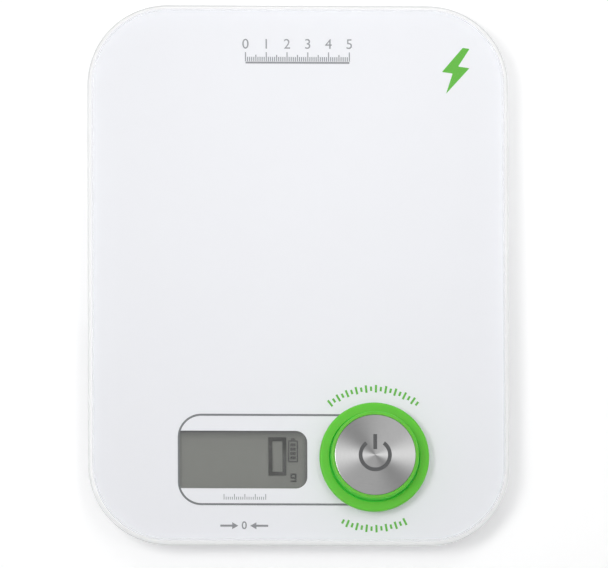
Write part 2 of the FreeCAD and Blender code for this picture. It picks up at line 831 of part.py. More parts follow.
def make_board():
    board = box(board_left, board_right, board_front, board_back, board_bottom, board_top)
    for x, y in post_places():
        board = board.cut(disc(x, y, small_screw[0], board_bottom - overrun, board_top + overrun))
    save("circuit_board", board)
    bite = board_thick + small_screw_bite
    save("board_screws", *[screw(x, y, board_top, small_screw, bite) for x, y in post_places()])

    line = holder_back + part_gap + capacitor_radius
    left = board_left + part_gap + capacitor_radius
    can = disc(left, line, capacitor_radius, board_top, board_top + capacitor_height)
    can = round_rims(can, capacitor_round, board_top + capacitor_height, capacitor_radius)
    save("storage_capacitor", can)
    right = board_right - part_gap - diode_length / 2
    diode_ys = [line + (number - (diode_count - 1) / 2) * diode_pitch for number in range(diode_count)]
    save("rectifier_diodes", *[
        box(right - diode_length / 2, right + diode_length / 2, y - diode_width / 2, y + diode_width / 2,
            board_top, board_top + diode_height)
        for y in diode_ys
    ])
    chip = (left + capacitor_radius + right - diode_length / 2) / 2
    half = chip_side / 2
    save("processor_chip", box(chip - half, chip + half, line - half, line + half, board_top,
                               board_top + chip_height))
    pitch, middles = socket_row()
    half = pitch * socket_width_share / 2
    save("wire_sockets", *[
        box(x - half, x + half, board_back - socket_length, board_back, rib_top, board_bottom)
        for x in middles
    ])

    x, y = (window_left + window_right) / 2, electrode_from_front - half_length
    low = tape_top - electrode_thick
    across, along = electrode_width / 2, electrode_length / 2
    save("touch_electrode", box(x - across, x + across, y - along, y + along, low, tape_top))
    save("touch_contact", disc(x, y, contact_radius, board_top, low))


# Wires held in the case


def held_wire(points):
    """A round wire along straight runs joined by quarter turns."""
    corners_at = [Vector(x, y, wire_level) for x, y in points]
    edges, start = [], corners_at[0]
    for before, here, after in zip(corners_at, corners_at[1:], corners_at[2:]):
        arrive, leave = (here - before).normalize(), (after - here).normalize()
        first, last = here - arrive * wire_turn, here + leave * wire_turn
        middle = here + (leave - arrive) * (wire_turn * (1 - math.sqrt(0.5)))
        edges += [Part.LineSegment(start, first).toShape(), Part.Arc(first, middle, last).toShape()]
        start = last
    edges.append(Part.LineSegment(start, corners_at[-1]).toShape())
    path = Part.Wire(edges)
    way = corners_at[1] - corners_at[0]
    section = Part.Wire([Part.makeCircle(wire_radius, corners_at[0], way)])
    return path.makePipeShell([section], True, False)


def make_wires():
    sockets = dict(zip(socket_names, socket_row()[1]))
    lanes = {"generator": 1, "front_left": 2, "front_right": 2, "back_left": 3, "back_right": 3}
    for name, (x, y) in corners.items():
        inward = 1 if y < 0 else -1
        lane = board_back + lanes[name] * wire_lane
        socket = sockets[name]
        route = [(x, y + inward * cell_radius), (x, lane), (socket, lane), (socket, board_back)]
        save(f"cell_wire_{name}", held_wire(route))
    lane, socket = board_back + lanes["generator"] * wire_lane, sockets["generator"]
    exit_y = button_y + math.sqrt(generator_radius ** 2 - wire_radius ** 2)
    route = [(button_x, exit_y), (button_x, lane), (socket, lane), (socket, board_back)]
    save("generator_lead", held_wire(route))


make_plate()
make_print()
make_tape()
make_upper_frame()
make_cover()
make_feet()
make_button()
make_ring()
make_springs()
make_rack()
make_gears()
make_generator_frame()
make_stator()
make_display()
make_board()
make_wires()
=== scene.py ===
import json
from math import cos, pi, radians, sin, tan

import bmesh
import bpy
from mathutils import Matrix, Vector


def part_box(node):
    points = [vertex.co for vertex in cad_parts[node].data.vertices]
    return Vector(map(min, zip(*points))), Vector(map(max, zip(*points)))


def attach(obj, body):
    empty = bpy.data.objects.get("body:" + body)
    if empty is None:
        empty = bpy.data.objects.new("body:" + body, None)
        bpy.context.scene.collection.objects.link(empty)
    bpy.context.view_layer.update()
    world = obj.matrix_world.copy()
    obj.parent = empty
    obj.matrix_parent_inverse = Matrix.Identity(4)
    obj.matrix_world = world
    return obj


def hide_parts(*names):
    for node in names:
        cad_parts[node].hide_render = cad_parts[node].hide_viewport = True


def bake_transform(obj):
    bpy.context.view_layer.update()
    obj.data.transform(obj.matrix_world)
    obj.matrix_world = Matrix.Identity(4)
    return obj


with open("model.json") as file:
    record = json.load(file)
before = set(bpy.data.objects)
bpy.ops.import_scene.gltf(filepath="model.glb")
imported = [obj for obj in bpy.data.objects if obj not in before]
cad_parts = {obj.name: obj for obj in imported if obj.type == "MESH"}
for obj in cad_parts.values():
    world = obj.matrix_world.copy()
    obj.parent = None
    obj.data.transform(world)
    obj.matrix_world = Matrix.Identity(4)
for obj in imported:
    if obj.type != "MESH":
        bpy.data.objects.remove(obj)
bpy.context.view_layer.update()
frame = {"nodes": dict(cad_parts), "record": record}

mm = 0.001  # shapes below are worked out in millimetres and made metres when a piece is finished
upright = Vector((0, 0, 1))
scaleBody, buttonBody = "scale_body", "start_button"


def nodeBox(node):
    # the lowest and the highest corner of a CAD node, in millimetres
    low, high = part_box(node)
    return low / mm, high / mm


def middleOf(node):
    low, high = nodeBox(node)
    return (low + high) / 2


plateLow, plateHigh = nodeBox("glass_platform")
screenLow, screenHigh = nodeBox("display_glass")
buttonAxis = middleOf("steel_disc").xy
window = {"margin": 2.0, "corner": 4.9, "panelAbove": 7.2, "panelLeft": 0.1, "panelCorner": 10.0}
windowLow = screenLow.xy + Vector((window["margin"], window["margin"]))
windowHigh = screenHigh.xy - Vector((window["margin"], window["margin"]))
panelLow = windowLow - Vector((window["panelLeft"], window["panelAbove"]))
panelHigh = Vector((buttonAxis.x, windowHigh.y + window["panelAbove"]))
print("frame loaded, glass", [round(side, 1) for side in plateHigh - plateLow], "mm")

# Camera and lamps

view = {
    "aim": (2.27, -4.02, 19.0),  # the point of the glass in the middle of the picture
    "distance": 9000,
    "towardsFront": 8.0,  # degrees from straight above
    "towardsLeft": 2.8,
    "turn": -0.19,  # degrees about the line of sight
    "sensor": 36.0,
    "widthSeen": 256.8,  # across the picture, at the glass
    "farthest": 50000,
}
lamps = {  # in metres: place, target, size; then power, spread, whether it casts shadows and shows in gloss
    "keyLamp": ((-0.53, 0.0, 1.2), (0, 0, 0), 0.5, 3.75, 180, True, True),
    "sideLamp": ((0.27, 0.0, 1.2), (0, 0, 0), 0.16, 0.43, 180, True, False),
    "backLamp": ((0.12, 0.35, 0.8), (0.02, 0.08, 0), 0.3, 0.14, 45, False, False),
}


def newObject(name, data):
    made = bpy.data.objects.new(name, data)
    bpy.context.scene.collection.objects.link(made)
    return made


def placeCamera():
    away = Vector((-tan(radians(view["towardsLeft"])), -tan(radians(view["towardsFront"])), 1)).normalized()
    up = (Vector((0, 1, 0)) - away * away.y).normalized()
    up.rotate(Matrix.Rotation(radians(view["turn"]), 3, away))
    turn = Matrix((up.cross(away), up, away)).transposed().to_4x4()
    camera = newObject("camera", bpy.data.cameras.new("camera"))
    camera.matrix_world = Matrix.Translation((Vector(view["aim"]) + away * view["distance"]) * mm) @ turn
    camera.data.sensor_width = view["sensor"]
    camera.data.lens = view["sensor"] * view["distance"] / view["widthSeen"]
    camera.data.clip_end = view["farthest"] * mm
    bpy.context.scene.camera = camera


def placeLamps():
    for name, (place, target, size, power, spread, shadows, gloss) in lamps.items():
        lamp = bpy.data.lights.new(name, "AREA")
        lamp.shape, lamp.size, lamp.energy = "DISK", size, power
        lamp.spread, lamp.use_shadow = radians(spread), shadows
        holder = newObject(name, lamp)
        holder.visible_glossy = gloss
        holder.location = place
        holder.rotation_euler = (Vector(target) - Vector(place)).to_track_quat("-Z", "Y").to_euler()


placeCamera()
placeLamps()
bpy.context.scene.view_settings.view_transform = "Standard"
print("camera and lamps placed")

# Finishes

screenCurve = {"white": 255, "lowEnd": 10, "lowSlope": 12.92, "lift": 0.055, "power": 2.4}


def tint(*levels):
    # a colour as it is seen on a screen, from 0 to 255, for a shader
    linear = []
    for level in levels:
        share = level / screenCurve["white"]
        curved = ((share + screenCurve["lift"]) / (1 + screenCurve["lift"])) ** screenCurve["power"]
        linear.append(share / screenCurve["lowSlope"] if level < screenCurve["lowEnd"] else curved)
    return (*linear, 1)


def grey(level):
    return (level, level, level, 1)


def shaded(colour, share):
    # the same colour, darker or lighter
    return [min(1, part * share) for part in colour[:3]] + [1]


class Channel:
    # a shader socket that can be used in sums
    def __init__(self, finish, socket):
        self.finish, self.socket = finish, socket

    def reckon(self, operation, *values):
        return self.finish.add("Math", {"operation": operation}, values)

    def __add__(self, other):
        return self.reckon("ADD", self, other)

    def __sub__(self, other):
        return self.reckon("SUBTRACT", self, other)

    def __rsub__(self, other):
        return self.reckon("SUBTRACT", other, self)

    def __mul__(self, other):
        return self.reckon("MULTIPLY", self, other)

    def __truediv__(self, other):
        return self.reckon("DIVIDE", self, other)

    def __pow__(self, other):
        return self.reckon("POWER", self, other)

    def atLeast(self, other):
        return self.reckon("MAXIMUM", self, other)

    def atMost(self, other):
        return self.reckon("MINIMUM", self, other)

    def asShare(self):
        return self.atLeast(0).atMost(1)

    def plain(self):
        return self.reckon("ABSOLUTE", self)

    def wave(self):
        return self.reckon("SINE", self)


class Finish:
    # a material, and the ways to add nodes to it
    def __init__(self, name, owner=None):
        if owner is None:
            owner = bpy.data.materials.new(name)
            owner.use_nodes = True
        self.material, self.tree = owner, owner.node_tree
        self.surface = self.tree.nodes.get("Principled BSDF")

    def add(self, kind, settings=None, values=(), output=0):
        node = self.tree.nodes.new("ShaderNode" + kind)
        for name, setting in (settings or {}).items():
            setattr(node, name, setting)
        for key, value in values.items() if isinstance(values, dict) else enumerate(values):
            self.put(node.inputs[key], value)
        return Channel(self, node.outputs[output])

    def put(self, socket, value):
        if isinstance(value, Channel):
            self.tree.links.new(value.socket, socket)
        else:
            socket.default_value = value

    def set(self, **values):
        for name, value in values.items():
            spaced = "".join(" " + letter if letter.isupper() else letter for letter in name)
            self.put(self.surface.inputs[spaced.title()], value)

    def where(self):
        return self.add("TexCoord", output="Object")

    def centred(self, x, y):
        # the distances along X and Y from an upright axis, all in millimetres
        place = self.add("Mapping", {"vector_type": "POINT"}, {
            "Vector": self.where(), "Location": (-x, -y, 0), "Scale": (1 / mm,) * 3})
        parts = self.add("SeparateXYZ", values=[place])
        return parts, Channel(self, parts.socket.node.outputs[1])

    def grain(self, size, detail=2.0, across=(1, 1, 1)):
        # noise whose specks are about size millimetres across
        place = self.add("Mapping", {"vector_type": "POINT"}, {"Vector": self.where(), "Scale": across})
        return self.add("TexNoise", values={"Vector": place, "Scale": 1 / (size * mm), "Detail": detail})

    def between(self, share, first, second):
        # a mix of two colours, which are sockets 6 and 7 of the node and come out of its socket 2
        return self.add("Mix", {"data_type": "RGBA"}, {0: share, 6: first, 7: second}, output=2)

    def mottled(self, colour, spread, size):
        # a colour that varies by a share of itself
        return self.between(self.grain(size), shaded(colour, 1 - spread), shaded(colour, 1 + spread))

    def relief(self, height, depth):
        # a bump depth millimetres deep
        self.set(normal=self.add("Bump", values={"Height": height, "Distance": depth * mm}))

    def show(self, share, under, over):
        # shows one surface through another
        mixed = self.add("MixShader", values={0: share, 1: under, 2: over})
        self.put(self.tree.nodes["Material Output"].inputs["Surface"], mixed)


plainLook = {"detail": 3.0, "glossSpread": 0.12, "mottleShare": 14}


def plainFinish(name, colour, roughness, metallic=0.0, speck=0.5, depth=0.01, spread=0.04, drawn=(1, 1, 1)):
    # a moulded, rolled or drawn surface: its colour, its gloss and a fine relief all vary
    finish, look = Finish(name), plainLook
    relief = finish.grain(speck, look["detail"], drawn)
    finish.set(baseColor=finish.mottled(colour, spread, speck * look["mottleShare"]), metallic=metallic,
               roughness=relief * look["glossSpread"] + (roughness - look["glossSpread"] / 2))
    finish.relief(relief, depth)
    return finish.material


def inkFinish(name, colour, roughness=0.45):
    return plainFinish(name, colour, roughness, speck=0.15, depth=0.001, spread=0.02)


clearLook = {"bending": 1.46, "roughness": 0.03}


def makeClearGlass():
    # it lets light straight through, and its outside mirrors a little, most at a slant
    finish = Finish("clearGlass")
    outside = 1 - finish.add("NewGeometry", output="Backfacing")
    mirrored = finish.add("Fresnel", values={"IOR": clearLook["bending"]}) * outside
    clear = finish.add("BsdfTransparent", values={"Color": grey(1)})
    gloss = finish.add("BsdfAnisotropic", values={"Color": grey(1), "Roughness": clearLook["roughness"]})
    finish.tree.nodes.remove(finish.surface)
    finish.show(mirrored, clear, gloss)
    return finish.material


groundLook = {"speck": 0.12, "detail": 3.0, "depth": 0.004, "spread": 0.1, "mottle": 0.02, "mottleSize": 6.0,
              "backFrom": 70.0, "backFade": 25.0}


def makeGroundGlass(name, colour, roughness, cloud, paintedBackShade=1.0):
    # glass with a ground face: partly clear, partly pale; it can have painted shade round the back, where its
    # colour darkens towards the back edge
    finish, look = Finish(name), groundLook
    relief = finish.grain(look["speck"], look["detail"])
    _, y = finish.centred(0, 0)
    # painted shade: the colour darkens towards the back edge
    back = ((y - look["backFrom"]) / look["backFade"]).asShare()
    pale = finish.mottled(colour, look["mottle"], look["mottleSize"])
    finish.set(baseColor=finish.between(back, pale, shaded(colour, paintedBackShade)),
               roughness=relief * look["spread"] + roughness)
    finish.relief(relief, look["depth"])
    lit = 1 - finish.add("LightPath", output="Is Shadow Ray")
    share = (relief * look["spread"] + (cloud - look["spread"] / 2)) * lit
    finish.show(share, finish.add("BsdfTransparent"), Channel(finish, finish.surface.outputs[0]))
    return finish.material


enamelLook = {"colour": tint(242, 243, 247), "mottle": 0.006, "mottleSize": 30.0, "roughness": 0.3,
              "glossSpread": 0.08, "glossSpeck": 0.4, "ripple": 0.2, "depth": 0.002}


def makeWhiteEnamel():
    finish, look = Finish("whiteEnamel"), enamelLook
    finish.set(baseColor=finish.mottled(look["colour"], look["mottle"], look["mottleSize"]),
               roughness=finish.grain(look["glossSpeck"]) * look["glossSpread"] + look["roughness"])
    finish.relief(finish.grain(look["ripple"]), look["depth"])
    return finish.material


plasticLook = {
    "plain": tint(101, 197, 48), "mottle": 0.03, "mottleSize": 9.0,
    # gap: painted light, a purer and lighter green round the gap between ring and button
    "gap": tint(84, 246, 90), "gapRadius": 18.9, "gapReach": 0.33, "gapCore": 1.5,
    "speck": 0.25, "detail": 4.0, "depth": 0.004, "roughness": 0.4, "glossSpread": 0.12,
    "coat": 0.1, "coatPatch": 5.0, "litShare": 0.5, "litColours": (0.15, 1.0, 0.4), "litDepth": 5.0,
}


def makeGreenPlastic():
    # painted light in the gap between ring and button: a purer, lighter green that stands in for light
    # passing through the plastic
    finish, look = Finish("greenPlastic"), plasticLook
    satin = finish.grain(look["speck"], look["detail"])
    x, y = finish.centred(*buttonAxis)
    off = ((x * x + y * y) ** 0.5 - look["gapRadius"]).plain()
    # painted light: the colour turns to the gap's green close to the gap
    gap = (look["gapCore"] - off / look["gapReach"]).asShare()
    plain = finish.mottled(look["plain"], look["mottle"], look["mottleSize"])
    finish.set(baseColor=finish.between(gap, plain, look["gap"]),
               roughness=satin * look["glossSpread"] + look["roughness"],
               coatWeight=finish.grain(look["coatPatch"]) * look["coat"])
    finish.set(subsurfaceWeight=look["litShare"], subsurfaceRadius=look["litColours"],
               subsurfaceScale=look["litDepth"] * mm)
    finish.relief(satin, look["depth"])
    return finish.material


steelLook = {
    # painted highlights and shade: the spun steel's reflections are painted into its colour, by direction
    # round the middle
    "plain": 0.60, "paintedStreak": 0.21, "dip": 0.085, "corner": 0.06,  # brightness round the disc, as it is seen
    "streakTurn": 0, "dipTurn": -45, "cornerTurn": 52,  # where each is strongest, in degrees from the right
    "streakPower": 10, "dipPower": 8, "cornerPower": 3, "brightest": 0.98, "screenPower": 2.2,
    "grooves": 0.05, "grooveWidth": 0.11, "grooveDepth": 0.004, "drift": 0.6, "detail": 2.0, "hub": 0.1,
    "roughness": 0.16, "glossSpread": 0.1,
}


def makeSpunSteel():
    finish, look = Finish("spunSteel"), steelLook
    x, y = finish.centred(*buttonAxis)
    radius = (x * x + y * y).atLeast(look["hub"] ** 2) ** 0.5

    def facing(turn):
        # 1 where the line from the middle points this way, -1 where it points away
        return (x * cos(radians(turn)) + y * sin(radians(turn))) / radius

    paintedStreak = facing(look["streakTurn"]).plain() ** look["streakPower"]
    dip = facing(look["dipTurn"]).plain() ** look["dipPower"]
    corner = facing(look["cornerTurn"]).atLeast(0) ** look["cornerPower"]
    around = [(side / radius) * look["drift"] for side in (x, y)]
    groove = finish.add("TexNoise", values={
        "Vector": finish.add("CombineXYZ", values=[radius, *around]),
        "Scale": 1 / look["grooveWidth"], "Detail": look["detail"]})
    # painted highlights and shade: bright streaks to the sides, a darker dip and a lighter patch, over the
    # grooves' grain
    paintedSheen = paintedStreak * look["paintedStreak"] - dip * look["dip"] + corner * look["corner"]
    paintedSheen = paintedSheen + (groove - 0.5) * look["grooves"] + look["plain"]
    bright = paintedSheen.atMost(look["brightest"]) ** look["screenPower"]
    finish.set(baseColor=finish.between(bright, grey(0), grey(1)), metallic=1.0,
               roughness=groove * look["glossSpread"] + look["roughness"])
    finish.relief(groove, look["grooveDepth"])
    return finish.material


displayLook = {
    "film": tint(114, 116, 110), "grainFilm": tint(111, 113, 107), "grain": 0.3,
    # edge: the darkest colour of the painted shade along the window's back and right edges
    "edge": tint(38, 40, 40), "paintedShadeBack": 4.0, "paintedShadeRight": 2.6, "paintedShadePower": 0.45,
    "roughness": 0.4, "glossSpread": 0.1, "glossSpeck": 1.0, "ripple": 0.15, "depth": 0.002,
}


def makeDisplayFilm(right, back):
    # the reflector, with painted shade close to the window's back and right edges
    finish, look = Finish("displayFilm"), displayLook
    x, y = finish.centred(right, back)
    unshaded = (x / -look["paintedShadeRight"]).atMost(y / -look["paintedShadeBack"]).asShare() ** look["paintedShadePower"]
    film = finish.between(finish.grain(look["grain"]), look["grainFilm"], look["film"])
    finish.set(baseColor=finish.between(unshaded, look["edge"], film),
               roughness=finish.grain(look["glossSpeck"]) * look["glossSpread"] + look["roughness"])
    finish.relief(finish.grain(look["ripple"]), look["depth"])
    return finish.material


# painted light and shade: the marks are lighter to the left and to the back
segmentLook = {"dark": tint(30, 32, 29), "light": tint(82, 84, 80), "leftFrom": 9.0, "leftFade": 6.0,
               "leftShare": 0.6, "frontFade": 18.0, "roughness": 0.54, "glossSpread": 0.12, "speck": 0.15}


def makeSegmentInk(right, back):
    # the display's marks, with painted light and shade: lighter to the left and to the back
    finish, look = Finish("segmentInk"), segmentLook
    x, y = finish.centred(right, back)
    left = ((x + look["leftFrom"]) / -look["leftFade"]).asShare()
    far = (y / look["frontFade"] + 1).asShare()
    share = left * look["leftShare"] + far * (1 - look["leftShare"])
    finish.set(baseColor=finish.between(share, look["dark"], look["light"]),
               roughness=finish.grain(look["speck"]) * look["glossSpread"] + look["roughness"])
    return finish.material


sheetLook = {"gapShade": 0.45, "metallic": 0.7, "roughness": 0.35, "glossSpread": 0.1, "glossSpeck": 0.5,
             "depthShare": 0.25}


def laminated(name, colour, sheet, along):
    # stacked sheets or windings: fine bands across one axis, which is 0 for X or 2 for Z
    finish, look = Finish(name), sheetLook
    place = finish.add("SeparateXYZ", values=[finish.where()], output=along)
    band = (place * (pi / (sheet * mm))).wave().plain()
    finish.set(baseColor=finish.between(band, shaded(colour, look["gapShade"]), colour),
               metallic=look["metallic"],
               roughness=finish.grain(look["glossSpeck"]) * look["glossSpread"] + look["roughness"])
    finish.relief(band, sheet * look["depthShare"])
    return finish.material


boardLook = {"edge": tint(38, 132, 74), "mask": tint(18, 96, 52), "pitch": 2.4, "disorder": 0.6,
             "steepness": 9, "roughness": 0.25, "glossSpread": 0.1, "depth": 0.03}


def makeBoardGreen():
    # solder mask over copper tracks
    finish, look = Finish("boardGreen"), boardLook
    cells = finish.add("TexVoronoi", {"feature": "DISTANCE_TO_EDGE", "distance": "MANHATTAN"}, {
        "Vector": finish.where(), "Scale": 1 / (look["pitch"] * mm), "Randomness": look["disorder"]})
    track = (cells * look["steepness"]).atMost(1)
    finish.set(baseColor=finish.between(track, look["edge"], look["mask"]),
               roughness=track * look["glossSpread"] + look["roughness"])
    finish.relief(1 - track, look["depth"])
    return finish.material


finishes = {
    "clear_glass": makeClearGlass(),
    "white_enamel": makeWhiteEnamel(),
    "green_plastic": makeGreenPlastic(),
    "spun_steel": makeSpunSteel(),
    "foam_tape": plainFinish("foamTape", tint(222, 223, 225), 0.85, speck=0.3, depth=0.08),
    "white_plastic": plainFinish(
        "whitePlastic", tint(232, 233, 236), 0.5, speck=0.28, depth=0.02, spread=0.01),
    "screw_steel": plainFinish(
        "screwSteel", tint(176, 176, 178), 0.34, metallic=1.0, speck=0.2, depth=0.006, spread=0.08),
    "bright_steel": plainFinish(
        "brightSteel", tint(196, 196, 198), 0.2, metallic=1.0, speck=0.15, depth=0.003, drawn=(0.1, 1, 1)),
    "cell_steel": plainFinish(
        "cellSteel", tint(180, 180, 178), 0.3, metallic=1.0, speck=0.2, depth=0.004, spread=0.06,
        drawn=(0.1, 1, 1)),
    "spring_steel": plainFinish(
        "springSteel", tint(172, 172, 174), 0.25, metallic=1.0, speck=0.1, depth=0.003, spread=0.05),
    "core_iron": laminated("coreIron", tint(150, 150, 156), sheet=0.35, along=0),
    "magnet_ferrite": plainFinish(
        "magnetFerrite", tint(62, 62, 66), 0.55, metallic=0.3, speck=0.3, depth=0.02, spread=0.1),
    "bush_brass": plainFinish(
        "bushBrass", tint(200, 165, 92), 0.3, metallic=1.0, speck=0.15, depth=0.003, spread=0.06),
    "copper_wire": laminated("copperWire", tint(196, 120, 74), sheet=0.12, along=2),
    "gauge_lacquer": plainFinish("gaugeLacquer", tint(222, 210, 182), 0.2, speck=1.0, depth=0.02),
    "ivory_plastic": plainFinish("ivoryPlastic", tint(224, 220, 206), 0.42, depth=0.008),
    "black_plastic": plainFinish(
        "blackPlastic", tint(38, 38, 41), 0.45, speck=0.3, depth=0.012, spread=0.12),
    "grey_plastic": plainFinish(
        "greyPlastic", tint(172, 173, 176), 0.48, speck=0.3, depth=0.015, spread=0.03),
    "foot_rubber": plainFinish("footRubber", tint(72, 72, 75), 0.82, speck=0.25, depth=0.03, spread=0.1),
    "contact_rubber": plainFinish("contactRubber", tint(150, 142, 140), 0.75, speck=0.2),
    "board_green": makeBoardGreen(),
    "capacitor_can": plainFinish(
        "capacitorCan", tint(206, 206, 208), 0.28, metallic=1.0, speck=0.3, depth=0.004, spread=0.03,
        drawn=(1, 1, 0.1)),
    "wire_cover": plainFinish("wireCover", tint(196, 50, 42), 0.35, speck=0.4, depth=0.006, spread=0.05),
    "display_film": makeDisplayFilm(*windowHigh),
}
sideGlass = makeGroundGlass("sideGlass", tint(250, 251, 251), roughness=0.28, cloud=0.7)
# the arris glass has painted shade along its back edge
arrisGlass = makeGroundGlass("arrisGlass", tint(249, 250, 250), roughness=0.4, cloud=0.82, paintedBackShade=0.82)
bevelGlass = makeGroundGlass("bevelGlass", tint(254, 254, 254), roughness=0.18, cloud=0.85)
seamGlass = makeGroundGlass("seamGlass", tint(236, 238, 241), roughness=0.4, cloud=0.4)
greyInk = inkFinish("greyInk", tint(112, 115, 118))
keyInk = inkFinish("keyInk", tint(136, 137, 141))
paleInk = inkFinish("paleInk", tint(146, 148, 152))
greenInk = inkFinish("greenInk", tint(86, 182, 36))
darkInk = inkFinish("darkInk", tint(78, 79, 80), roughness=0.5)
segmentInk = makeSegmentInk(*windowHigh)
labelPaper = inkFinish("labelPaper", tint(240, 241, 243), roughness=0.6)
print(len(bpy.data.materials), "finishes made")

# Ways of making shapes

detail = {
    "turnSteps": 144, "cornerSteps": 28, "edgeSteps": 5, "sharpAngle": 32, "flatAngle": 5, "merge": 0.0005,
    "cut": 1e-5, "near": 0.01, "heldShare": 1.1,
}


def meshObject(name, bm, finishList):
    mesh = bpy.data.meshes.new(name)
    bm.to_mesh(mesh)
    bm.free()
    for finish in finishList:
        mesh.materials.append(finish)
    return newObject(name, mesh)


def finishPiece(name, bm, body, slot, replaced=(), finishList=(), sharpAngle=detail["sharpAngle"]):
    # closes the mesh, turns its faces outwards, makes it metres and hangs it on its body if it has one,
    # with its slot's finish unless it has others
    bmesh.ops.remove_doubles(bm, verts=bm.verts[:], dist=detail["merge"])
    bmesh.ops.recalc_face_normals(bm, faces=bm.faces[:])
    bmesh.ops.scale(bm, vec=Vector((mm, mm, mm)), verts=bm.verts[:])
    piece = meshObject(name, bm, finishList or [finishes[slot]])
    piece.data.shade_smooth()
    piece.data.set_sharp_from_angle(angle=radians(sharpAngle))
    if body:
        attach(piece, body)
    if replaced:
        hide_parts(*replaced)
    return piece


def only(kind, geometry):
    return [item for item in geometry if isinstance(item, kind)]


def edgesAt(vertices):
    # each edge once, in the order of the vertices
    return list(dict.fromkeys(edge for vertex in vertices for edge in vertex.link_edges))


def polygon(bm, points, height):
    # a flat face through a few corners
    return bm.faces.new([bm.verts.new((x, y, height)) for x, y in points])


def flatBar(bm, x, y, width, length, height):
    # an upright bar as the scale is read: x is its middle, y its front end
    left, right = x - width / 2, x + width / 2
    polygon(bm, ((left, y), (right, y), (right, y + length), (left, y + length)), height)


def roundCorners(bm, corners, radius, steps):
    bmesh.ops.bevel(bm, geom=corners, offset=radius, offset_type="OFFSET", segments=steps, profile=0.5,
                    affect="VERTICES", material=-1)


def pane(bm, low, high, corner, height):
    # a rectangle with round corners, as one flat face
    kept = set(bm.faces)
    face = polygon(bm, ((low[0], low[1]), (high[0], low[1]), (high[0], high[1]), (low[0], high[1])), height)
    roundCorners(bm, face.verts[:], corner, detail["cornerSteps"])
    return next(face for face in bm.faces if face not in kept)


def rimOnly(bm, face):
    # deletes a face and keeps the edges round it
    rim = face.edges[:]
    bmesh.ops.delete(bm, geom=[face], context="FACES_ONLY")
    return rim


def inset(bm, face, width, up=0.0):
    # draws a face in, moves it along its normal and gives the new faces round it
    return bmesh.ops.inset_region(bm, faces=[face], thickness=width, depth=up, use_even_offset=True,
                                  use_boundary=True)["faces"]


def bandOnly(bm, face, width):
    # deletes a face but for a band along its edge
    inset(bm, face, width)
    bmesh.ops.delete(bm, geom=[face], context="FACES_ONLY")


def cutOff(bm, point, outwards):
    # takes away what lies beyond a plane
    everything = bm.verts[:] + bm.edges[:] + bm.faces[:]
    bmesh.ops.bisect_plane(bm, geom=everything, dist=detail["cut"], plane_co=point, plane_no=outwards,
                           clear_outer=True)


def circle(bm, centre, radius, height):
    made = bmesh.ops.create_circle(bm, cap_ends=False, segments=detail["turnSteps"], radius=radius,
                                   matrix=Matrix.Translation((centre[0], centre[1], height)))
    return edgesAt(made["verts"])


def fill(bm, rims):
    # fills the flat space between closed rims
    made = bmesh.ops.triangle_fill(bm, use_beauty=True, edges=rims, normal=upright)
    return only(bmesh.types.BMFace, made["geom"])


def thicken(bm, height, faces=None):
    # gives flat faces a thickness, upwards
    moved = bmesh.ops.extrude_face_region(bm, geom=faces or bm.faces[:], use_keep_orig=True)
    bmesh.ops.translate(bm, vec=(0, 0, height), verts=only(bmesh.types.BMVert, moved["geom"]))


def heldCorners(outline, rounds):
    # adds a corner on both sides of each rounding, so that the flat faces beside it shade as flat
    points, rounded = [], {}
    for number, corner in enumerate(outline):
        here = Vector(corner)
        if number not in rounds:
            points.append(here)
            continue
        ways = [Vector(outline[near % len(outline)]) - here for near in (number - 1, number + 1)]
        before, after = [here + way.normalized() * rounds[number] * detail["heldShare"] for way in ways]
        rounded[len(points) + 1] = rounds[number]
        points += [before, here, after]
    return points, rounded


def turned(bm, centre, outline, rounds, closed=True):
    # spins an outline of (radius, height) corners about an upright axis, after rounding some corners
    outline, rounds = heldCorners(outline, rounds)
    corners = [bm.verts.new((radius, 0, height)) for radius, height in outline]
    edges = [bm.edges.new(pair) for pair in zip(corners, corners[1:])]
    if closed:
        edges.append(bm.edges.new((corners[-1], corners[0])))
    kept = set(bm.verts) - set(corners)
    for number, radius in rounds.items():
        roundCorners(bm, [corners[number]], radius, detail["edgeSteps"])
    wire = [vertex for vertex in bm.verts if vertex not in kept and not vertex.link_faces]
    bmesh.ops.spin(bm, geom=wire + edgesAt(wire), cent=(0, 0, 0), axis=upright, dvec=(0, 0, 0), angle=2 * pi,
                   steps=detail["turnSteps"], use_merge=True, use_normal_flip=False, use_duplicate=False)
    made = [vertex for vertex in bm.verts if vertex not in kept]
    bmesh.ops.translate(bm, vec=(centre[0], centre[1], 0), verts=made)


def writing(bm, words, size, centre, height, weight=0.0):
    # flat letters or digits, from the built-in typeface
    curve = bpy.data.curves.new("writing", "FONT")
    curve.body, curve.size, curve.align_x, curve.align_y = words, size, "CENTER", "CENTER"
    curve.offset = weight
    holder = newObject("writing", curve)
    flat = bpy.data.meshes.new_from_object(holder.evaluated_get(bpy.context.evaluated_depsgraph_get()))
    flat.transform(Matrix.Translation((centre[0], centre[1], height)))
    bm.from_mesh(flat)
    bpy.data.objects.remove(holder)
    bpy.data.curves.remove(curve)
    bpy.data.meshes.remove(flat)


# Glass and enamel

glass = {
    "corner": 34.0, "underBevel": 0.5, "arrisIn": 0.65, "arrisDown": 0.4, "bevelIn": 1.0, "bevelDown": 0.3,
    "seamIn": 0.75, "seamDown": 0.1, "hole": 20.4,
}
enamel = {"inset": 0.6, "hole": 20.6, "top": 14.93, "depth": 0.13}


def giveFinish(faces, number):
    for face in faces:
        face.material_index = number


